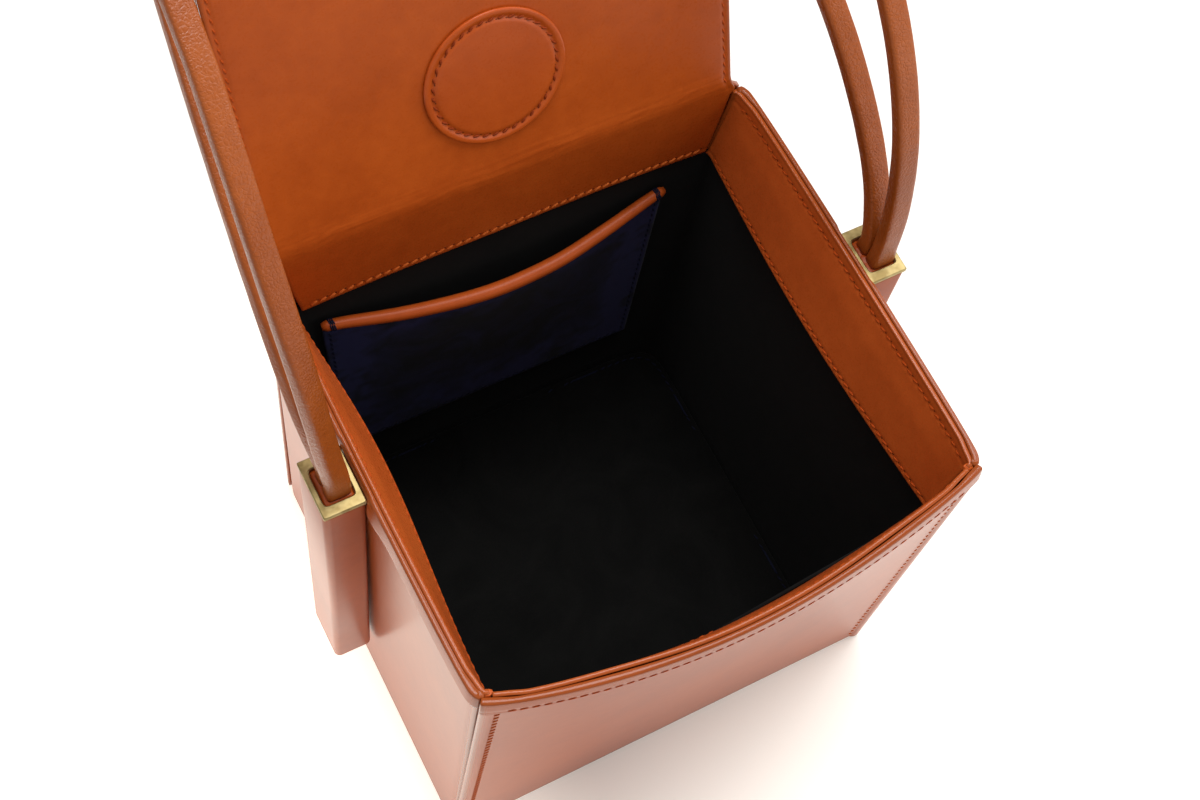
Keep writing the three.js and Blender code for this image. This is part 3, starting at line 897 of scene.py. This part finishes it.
def makePatch():
    look = patchLook
    radius, fromHinge = look["radius"], look["fromHinge"]
    lidTurn = Matrix.Rotation(-lidLean, 4, "X")
    y, z = foldPath(0.0, 2.0, math.radians(lidLook["bandLean"]))(fromHinge)
    toLid = Matrix.Translation((Vector((look["across"], y, z)) - upLid * fromHinge) * mm) @ lidTurn

    def puff(r):
        return look["puff"] * (1 - (r / radius) ** 2)

    # section from the middle of the face out to the edge and back under, spun about the patch's axis
    section = []
    for i in range(41):
        r = radius * math.sin(i / 40 * math.pi / 2)
        groove = look["groove"] * ridge(radius - look["seam"] - r, look["grooveWide"])
        edge = look["edge"] * (1 - edgeRound(radius - r, look["edgeWide"]))
        section.append((r, groove + edge - look["thick"] - puff(r)))
    section += [(radius * 0.995, -look["under"]), (0.0, -look["under"])]
    bm = bmesh.new()
    verts = [bm.verts.new((r * mm, y * mm, fromHinge * mm)) for r, y in section]
    for a, b in zip(verts, verts[1:]):
        bm.edges.new((a, b))
    bmesh.ops.spin(bm, geom=bm.verts[:] + bm.edges[:], cent=(0, 0, fromHinge * mm), axis=(0, 1, 0),
                   angle=2 * math.pi, steps=96, use_merge=True)
    bmesh.ops.remove_doubles(bm, verts=bm.verts[:], dist=1e-6)
    bmesh.ops.recalc_face_normals(bm, faces=bm.faces[:])
    bmesh.ops.transform(bm, matrix=toLid, verts=bm.verts[:])
    addPiece("round_patch", bm, "tan_leather", "lid", ["lid_patch"])

    seamRadius = radius - look["seam"]
    height = look["thick"] + puff(seamRadius) - look["groove"] + look["threadProud"]

    def spot(t):
        a = 2 * math.pi * t
        point = Vector((seamRadius * math.cos(a), -height, fromHinge + seamRadius * math.sin(a)))
        return (toLid @ (point * mm)) / mm, lidTurn.to_3x3() @ Vector((0, -1, 0))
    threads, holeShade = bmesh.new(), bmesh.new()
    stitchRow(threads, spot, patchStitches, 0.0, 1.0, holeShade)
    addPiece("patch_stitches", threads, "patch_thread", "lid")
    addPiece("patch_needle_hole_shade", holeShade, "needle_hole_shade", "lid")
    print("patch made")


# lining: a soft suede tub, its floor pad, and the slip pocket on the back

liningLook = {"top": 141.0, "bottom": 2.8, "rings": 26, "segments": 160, "squareTop": 60.0,
              "squareLow": 12.0, "thick": 1.0, "ripple": 0.5, "overlap": 0.2,
              "floorSteps": (0.985, 0.95, 0.7, 0.35), "floorDown": 0.25}
padLook = {"low": 2.7, "high": 4.4, "inset": 0.9, "square": 14.0, "segments": 160,
           "seam": 2.0, "threadDown": 0.15}
padStitches = dict(stitchLook, radius=0.34)
liningTop = rimHeight - bagForm["bandDrop"] - bandTall - gap


def liningReach(wall, z, u):
    slack = gap + liningLook["overlap"]
    if z > liningTop:
        return bandReach(wall, z, u) + slack
    down = (liningTop - z) / (liningTop - butt)
    lean = lerp(bandLean(wall, bandTall, u), wall["floorLean"], down)
    return wallReach(wall, z, u) - butt - lean + slack * (1 - down)


def liningPoint(angle, z):
    square = lerp(liningLook["squareLow"], liningLook["squareTop"], max(z / liningTop, 0) ** 3)
    sx, sy = squarePoint(angle, 1, 1, square)
    x = sx * liningReach(wallForm["right"], z, (sy + 1) / 2)
    wall = wallForm["back"] if sy > 0 else wallForm["front"]
    y = sy * liningReach(wall, z, (sx + 1) / 2)
    wave = liningLook["ripple"] * waver(x * 0.03, y * 0.03, z * 0.025)
    return Vector((x * (1 - abs(wave) * 0.012), y * (1 - abs(wave) * 0.012), z))


def makeLining():
    look = liningLook
    steps = look["floorSteps"]

    def place(i, angle):
        z = lerp(look["top"], look["bottom"], min(i / look["rings"], 1.0))
        p = liningPoint(angle, z)
        if i <= look["rings"]:
            return p
        inwards = steps[i - look["rings"] - 1]
        return Vector((p.x * inwards, p.y * inwards, z - look["floorDown"]))
    bm = bmesh.new()
    closeEnds(bm, stackRings(bm, look["segments"], look["rings"] + 1 + len(steps), place)[1:])
    bmesh.ops.reverse_faces(bm, faces=bm.faces[:])    # the suede shows on the inside
    tub = addPiece("suede_walls", bm, "black_suede", "body",
                   ["front_lining", "right_lining", "back_lining", "left_lining"])
    wall = tub.modifiers.new("thickness", "SOLIDIFY")
    wall.thickness = look["thick"] * mm
    wall.offset = -1.0
    print("lining made")


def makeFloorPad():
    # rounded corners, a soft edge and a sunk seam: inset and height of each ring
    low, high, seam = padLook["low"], padLook["high"], padLook["seam"]
    rows = [(0.4, low), (0.0, low + 0.5), (0.0, high - 0.7), (0.3, high - 0.2), (0.8, high),
            (1.5, high - 0.02), (seam, high - 0.3), (2.6, high - 0.02), (10.0, high), (28.0, high + 0.15),
            (50.0, high + 0.2)]
    walls = [wallForm[name] for name in ("right", "front", "back")]
    side, front, back = (liningReach(wall, 4, 0.0) - padLook["inset"] for wall in walls)

    def padPoint(angle, inset, z):
        x, y = squarePoint(angle, side - inset, (back + front) / 2 - inset, padLook["square"])
        return Vector((x, y + (back - front) / 2, z))
    bm = bmesh.new()
    ends = stackRings(bm, padLook["segments"], len(rows), lambda i, angle: padPoint(angle, *rows[i]))
    closeEnds(bm, ends)
    addPiece("suede_floor", bm, "black_suede", "body", ["lining_floor"])

    def padSeam(t):
        return padPoint(2 * math.pi * t, seam, high - padLook["threadDown"]), Vector((0, 0, 1))
    threads = bmesh.new()
    stitchRow(threads, padSeam, padStitches)
    addPiece("floor_stitches", threads, "dark_thread", "body")
    print("floor pad made")


pocketForm = {"left": -68.0, "right": 57.0, "narrowing": 4.0, "top": 124.0, "bottom": 31.0, "thick": 1.2,
              "sag": 4.0, "mouth": 7.6, "hang": 1.3, "ripple": 0.5, "pale_nap": 0.75, "pale_nap_all": 0.06,
              "rollEnd": 1.75, "rollMiddle": 2.45, "overhang": 0.3, "rollTip": 0.72,
              "rollRings": 72, "rollSides": 28}
pocketStitches = dict(stitchLook, radius=0.3)
woundThread = dict(stitchLook, pitch=2.0, fill=1.25, radius=0.3, slant=0.15)


def pocketPlace(u, v):
    p = pocketForm
    x = lerp(p["left"] + p["narrowing"] * (1 - v), p["right"] - p["narrowing"] * (1 - v), u)
    soft = swell(u) ** p["hang"]
    z = lerp(p["bottom"], p["top"] - p["sag"] * soft, v)
    down = (liningTop - z) / (liningTop - butt)
    lean = lerp(wallForm["back"]["leanEnds"], wallForm["back"]["floorLean"], down)
    lining = wallReach(wallForm["back"], z, 0.5) - butt - lean - bagForm["liningThick"] - gap
    y = lining - p["mouth"] * soft * v ** 2 - p["thick"] / 2
    y -= p["ripple"] * waver(x * 0.05, z * 0.06, 2.0) * swell(u) * v
    return Vector((x, y, z))


def makePocket():
    p = pocketForm
    wide, tall = p["right"] - p["left"], p["top"] - p["bottom"]
    bm = leatherSheet(pocketPlace, 110, 90, p["thick"], (wide, tall), None, (0.3, 0.3))
    cloth = addPiece("navy_pocket", bm, "navy_suede", "body", ["pocket"])
    # paler in patches near the sides, the mouth and the bottom seam
    pale_nap = cloth.data.attributes.new("pale_nap", "FLOAT", "POINT")
    for v in cloth.data.vertices:
        x, z = v.co.x / mm, v.co.z / mm
        fromSide = min(x - p["left"], p["right"] - x)
        fromMouth = p["top"] - p["sag"] - z
        fromLow = z - p["bottom"]
        edge = max(ridge(fromSide - 9, 7), 0.8 * ridge(fromMouth - 5, 6), 0.5 * ridge(fromLow - 12, 9))
        patchy = 0.5 + 0.8 * waver(x * 0.06, z * 0.1, 5.0)
        patchy += 0.5 * waver(x * 0.25, z * 0.3, 9.0)
        pale_nap.data[v.index].value = p["pale_nap"] * edge * max(patchy, 0.0) + p["pale_nap_all"]
    print("pocket made")


def rollRadius(t):
    return lerp(pocketForm["rollEnd"], pocketForm["rollMiddle"], swell(t) ** 0.6)


def rollPoint(t):
    p = pocketForm
    q = pocketPlace(t, 1)
    r = rollRadius(t)
    tip = ridge(min(t, 1 - t), 0.12)
    x = q.x + lerp(-p["overhang"], p["overhang"], t)
    y = q.y + p["thick"] / 2 - max(p["thick"] / 2, r) + 0.6 * tip
    return Vector((x, y, q.z + gap + r + 0.8 * tip))


def makeRoll():
    p = pocketForm
    count = p["rollRings"]

    def section(i, a):
        r = rollRadius(i / count) * (1 - 0.06 * ridge(math.sin(a * 0.5 + 0.9), 0.12))
        if i in (0, count):
            r *= p["rollTip"]
        return r * math.cos(a), r * math.sin(a)
    roll = bmesh.new()
    tubeAlong(roll, [rollPoint(i / count) for i in range(count + 1)], p["rollSides"], section)
    addPiece("pocket_roll", roll, "roll_leather", "body", ["pocket_piping"])

    # dark thread wound round both ends of the roll, and sewn along the pocket's sides and bottom
    wound = bmesh.new()
    for end in (0.026, 0.974):
        for turn in (-1, 0, 1):
            t = end + turn * 0.005

            def loop(w):
                a = 2 * math.pi * w
                out = Vector((0, math.cos(a), math.sin(a)))
                return rollPoint(t) + out * (rollRadius(t) + 0.05), out
            stitchRow(wound, loop, woundThread)
    for u in (0.018, 0.982):
        stitchRow(wound, seamUp(pocketPlace, u, p["thick"] / 2), pocketStitches, 0.02, 0.97)
    stitchRow(wound, seamAcross(pocketPlace, 0.02, p["thick"] / 2), pocketStitches, 0.03, 0.97)
    addPiece("pocket_thread", wound, "dark_thread", "body")
    print("roll and pocket thread made")


# side blocks, metal frames and handles

blockForm = {"thick": 13.5, "length": 19.6, "middle": 3.5, "bottom": 31.0, "offWall": 0.3,
             "corner": (2.2, 6), "edge": (0.35, 2)}
frameForm = {"thick": 1.5, "belowRim": 3.0, "bevel": 0.3, "square": 40, "bevelSquare": 36, "segments": 96,
             "openThick": 9.8, "openLength": 12.6, "openSquare": 9, "fillTop": 163.0, "fillLump": 0.45}
blockCentre = halfWide["rim"] + wallForm["right"]["bow"] + blockForm["offWall"] + blockForm["thick"] / 2
frameTop = rimHeight - frameForm["belowRim"]
blockTop = frameTop - frameForm["thick"] - gap
openX, openY = frameForm["openThick"] / 2, frameForm["openLength"] / 2


def makeFrame(side, centre):
    halfX, halfY = blockForm["thick"] / 2, blockForm["length"] / 2
    bevel, square, openSquare = frameForm["bevel"], frameForm["square"], frameForm["openSquare"]
    low, high = frameTop - frameForm["thick"], frameTop
    rows = [(openX, openY, openSquare, low), (halfX, halfY, square, low),
            (halfX, halfY, square, high - bevel),
            (halfX - bevel, halfY - bevel, frameForm["bevelSquare"], high),
            (openX + bevel, openY + bevel, openSquare, high), (openX, openY, openSquare, high - bevel)]

    def place(i, angle):
        *rectangle, z = rows[i]
        return centre + Vector((*squarePoint(angle, *rectangle), z))
    bm = bmesh.new()
    ends = stackRings(bm, frameForm["segments"], len(rows), place)
    loops = [bm.edges.get((a, b)) for ring in ends for a, b in zip(ring, ring[1:] + ring[:1])]
    bmesh.ops.bridge_loops(bm, edges=loops)
    bmesh.ops.recalc_face_normals(bm, faces=bm.faces[:])
    plate = addPiece(side + "_gold_frame", bm, "gold_metal", "body", [side + "_frame"])
    plate.data.shade_flat()


def makeFilling(side, centre, seed):
    # leather pressed into the opening round the feet of the straps
    bm = bmesh.new()
    bmesh.ops.create_grid(bm, x_segments=24, y_segments=30, size=0.5)
    for v in bm.verts:
        x, y = 2 * v.co.x, 2 * v.co.y
        rim = (1 - x ** 8) * (1 - y ** 8)
        lump = frameForm["fillLump"] * waver(x * 2.3 + seed, y * 2.9, 1.7)
        z = lerp(blockTop - 0.1, frameForm["fillTop"] + lump, max(rim, 0.0) ** 0.5)
        v.co = (centre + Vector((x * openX * 0.985, y * openY * 0.985, z))) * mm
    bmesh.ops.recalc_face_normals(bm, faces=bm.faces[:])
    addPiece(side + "_frame_filling", bm, "pressed_leather", "body")


def makeBlocks():
    tall = blockTop - blockForm["bottom"]
    size = (blockForm["thick"], blockForm["length"], tall)
    for side, sign in (("left", -1), ("right", 1)):
        centre = Vector((sign * blockCentre, blockForm["middle"], 0))
        middle = centre + Vector((0, 0, blockForm["bottom"] + tall / 2))
        post = roundedBox(size, middle, blockForm["corner"], blockForm["edge"])
        addPiece(side + "_side_post", post, "shaded_wall_leather", "body", [side + "_block"])
        makeFrame(side, centre)
        makeFilling(side, centre, sign)
    print("side blocks and frames made")


strapForm = {"wide": 5.3, "thick": 7.6, "square": 4.2, "hollow": 0.04, "spacing": 5.6, "footLift": 0.3,
             "footStraight": 5.5, "twist": 32.0, "twistKept": 10.0, "fuller": 0.12, "puff": 0.015,
             "ringStep": 2.2, "sides": 48,
             "across": {"right": (0.8, 0.8, 0.5, 0.1), "left": (0.3, 0.5, 1.1, 0.8)}}
# half of each strap, from its foot up: across and back in the bag's frame, then height above the rim
handleRoutes = {
    "front": {"step": -0.5, "route": [(94.3, 4.1, 20), (95.1, 13.9, 50), (94.6, 33.5, 80), (92.7, 68.6, 110),
                                      (89, 124, 140), (76.5, 151, 153), (43, 171, 161), (0, 178, 164)]},
    "back": {"step": 0.5, "route": [(94.9, 17.9, 20), (94.2, 46.8, 50), (89.5, 94, 80), (85, 132, 98),
                                    (79, 167, 110), (63, 198, 117), (35, 218, 120), (0, 225, 121)]},
}


def smoothThrough(points, perSpan):
    # a centripetal Catmull-Rom curve through the points
    ends = [points[0] * 2 - points[1], *points, points[-1] * 2 - points[-2]]
    line = []
    for a, b, c, d in zip(ends, ends[1:], ends[2:], ends[3:]):
        k0, k1, k2 = (max((q - p).length, 1e-6) ** 0.5 for p, q in ((a, b), (b, c), (c, d)))
        m1 = ((b - a) / k0 - (c - a) / (k0 + k1) + (c - b) / k1) * k1
        m2 = ((c - b) / k1 - (d - b) / (k1 + k2) + (d - c) / k2) * k1
        square = b * -3 + c * 3 - m1 * 2 - m2
        cube = b * 2 - c * 2 + m1 + m2
        for i in range(perSpan):
            t = i / perSpan
            line.append(b + m1 * t + square * t ** 2 + cube * t ** 3)
    return line + [points[-1]]


def evenly(line, spacing):
    lengths = runLengths(line)
    count = int(lengths[-1] / spacing)
    out, j = [], 0
    for i in range(count + 1):
        s = min(i * lengths[-1] / count, lengths[-1])
        while j < len(line) - 2 and lengths[j + 1] < s:
            j += 1
        part = (s - lengths[j]) / max(lengths[j + 1] - lengths[j], 1e-9)
        out.append(line[j].lerp(line[j + 1], min(part, 1.0)))
    return out


def makeHandles():
    form = strapForm
    for name, handle in handleRoutes.items():
        footY = blockForm["middle"] + handle["step"] * form["spacing"]
        foot = Vector((blockCentre, footY, blockTop + form["footLift"]))
        half = [foot, foot + Vector((0, 0, form["footStraight"]))]
        half += [Vector((x, y, rimHeight + z)) for x, y, z in handle["route"]]
        points = half + [Vector((-p.x, p.y, p.z)) for p in reversed(half[:-1])]
        for i, (right, left) in enumerate(zip(form["across"]["right"], form["across"]["left"])):
            points[i] = points[i] + Vector((right, 0, 0))
            points[-1 - i] = points[-1 - i] + Vector((left, 0, 0))
        line = evenly(smoothThrough(points, 24), form["ringStep"])

        def section(i, a):
            x, y = squarePoint(a, form["thick"] / 2, form["wide"] / 2, form["square"])
            puff = 1 + form["puff"] * waver(i * 0.35, math.cos(a) * 1.5, math.sin(a) * 1.5)
            flat = 1 - form["hollow"] * (1 - (2 * x / form["thick"]) ** 2)
            x, y = x * puff, y * puff * flat
            fromRight, fromLeft = i * form["ringStep"], (len(line) - 1 - i) * form["ringStep"]
            # turned about its length near the left foot, fuller at the right one
            turn = lerp(form["twist"], form["twistKept"], ease(30, 90, fromLeft))
            turn = math.radians(turn * ease(2, 18, fromLeft) * ease(40, 260, fromRight))
            full = 1 + form["fuller"] * (1 - ease(1, 8, fromRight))
            c, s = math.cos(turn) * full, math.sin(turn) * full
            return x * c + y * s, y * c - x * s
        bm = bmesh.new()
        tubeAlong(bm, line, form["sides"], section)
        addPiece(name + "_rolled_handle", bm, "strap_leather", "body", [name + "_handle"])
    print("handles made")


makeWalls()
makeBands()
makeLid()
makePatch()
makeLining()
makeFloorPad()
makePocket()
makeRoll()
makeBlocks()
makeHandles()


# floor, light and camera

stageLook = {
    "floor": 6.0, "sky": 0.48, "paperDark": (0.895, 0.88, 0.83), "paperLight": (0.915, 0.90, 0.85),
    "glowColour": (1.0, 0.91, 0.79),
    "glows": [
        {"place": (-0.15, 0.02, 0.0), "strength": 1.75, "reach": (0.13, 0.38, 1.0)},
        {"place": (0.22, -0.12, 0.0), "strength": 0.35, "reach": (0.26, 0.26, 1.0)},
        {"place": (0.03, -0.20, 0.0), "strength": 0.35, "reach": (0.24, 0.18, 1.0)},
    ],
}
lightForm = {
    "overhead_light": {"power": 16.0, "size": 0.75, "place": (0.24, 0.26, 1.5)},
    "front_light": {"power": 3.5, "size": 0.8, "place": (0.80, -1.0, 0.55)},
    "right_light": {"power": 4.5, "size": 0.6, "place": (0.90, 0.05, 0.90)},
    "left_light": {"power": 1.4, "size": 0.8, "place": (-0.70, 0.05, 1.3)},
}
viewForm = {"place": (-162.66, -190.41, 665.45), "azimuth": -39.18, "elevation": 64.70, "roll": 13.03,
            "lens": 55.99, "sensor": 36.0, "shiftX": 0.0066, "shiftY": 0.0048}


def floorMaterial(name):
    tree, shader, coords = startMaterial(name)
    paper = addNoise(tree, coords, 3.0, 3.0, 0.5)
    colour = addRamp(tree, paper, [(0.3, stageLook["paperDark"]), (0.7, stageLook["paperLight"])])
    # painted light: the floor glows softly in patches beside the bag, which lifts the bag's shadow on it and
    # brightens the reflections in the walls
    total = 0.0
    for glow in stageLook["glows"]:
        shift = [-p / r for p, r in zip(glow["place"], glow["reach"])]
        scale = [1 / r for r in glow["reach"]]
        spread = addNode(tree, "Mapping", {"Vector": coords, "Location": shift, "Scale": scale})
        ball = addNode(tree, "TexGradient", {"Vector": spread.outputs["Vector"]}, gradient_type="SPHERICAL")
        fade = addRange(tree, ball.outputs["Fac"], 0.0, glow["strength"], "SMOOTHSTEP")
        total = addMath(tree, "ADD", total, fade)
    setInputs(tree, shader, {"Base Color": colour, "Roughness": 0.8, "Emission Strength": total,
                             "Emission Color": (*stageLook["glowColour"], 1.0)})
    finishes[name].cycles.emission_sampling = "NONE"
    return finishes[name]


def makeStage():
    bm = bmesh.new()
    bmesh.ops.create_grid(bm, x_segments=4, y_segments=4, size=stageLook["floor"])
    mesh = bpy.data.meshes.new("pale_floor")
    bm.to_mesh(mesh)
    bm.free()
    mesh.materials.append(floorMaterial("pale_floor"))
    floor = bpy.data.objects.new("pale_floor", mesh)
    bpy.context.scene.collection.objects.link(floor)
    world = bpy.data.worlds.new("white_room")
    world.use_nodes = True
    sky = world.node_tree.nodes["Background"]
    sky.inputs["Color"].default_value = (1, 1, 1, 1)
    sky.inputs["Strength"].default_value = stageLook["sky"]
    bpy.context.scene.world = world
    for name, form in lightForm.items():
        light = bpy.data.lights.new(name, "AREA")
        light.energy = form["power"]
        light.size = form["size"]
        lamp = bpy.data.objects.new(name, light)
        lamp.location = form["place"]
        lamp.rotation_euler = (Vector((0, 0, 0.1)) - lamp.location).to_track_quat("-Z", "Y").to_euler()
        bpy.context.scene.collection.objects.link(lamp)
    bpy.context.scene.view_settings.view_transform = "Standard"


def makeCamera():
    az, el, roll = (math.radians(viewForm[k]) for k in ("azimuth", "elevation", "roll"))
    back = Vector((math.sin(az) * math.cos(el), -math.cos(az) * math.cos(el), math.sin(el)))
    right = (-back).cross(Vector((0, 0, 1))).normalized()
    up = back.cross(right)
    right, up = right * math.cos(roll) + up * math.sin(roll), up * math.cos(roll) - right * math.sin(roll)
    camera = bpy.data.cameras.new("photo_view")
    camera.lens = viewForm["lens"]
    camera.sensor_width = viewForm["sensor"]
    camera.shift_x = viewForm["shiftX"]
    camera.shift_y = viewForm["shiftY"]
    eye = bpy.data.objects.new("photo_view", camera)
    place = Vector(viewForm["place"]) * mm
    eye.matrix_world = Matrix([[right[i], up[i], back[i], place[i]] for i in range(3)] + [[0, 0, 0, 1]])
    bpy.context.scene.collection.objects.link(eye)
    bpy.context.scene.camera = eye


makeStage()
makeCamera()
print("stage and camera ready")
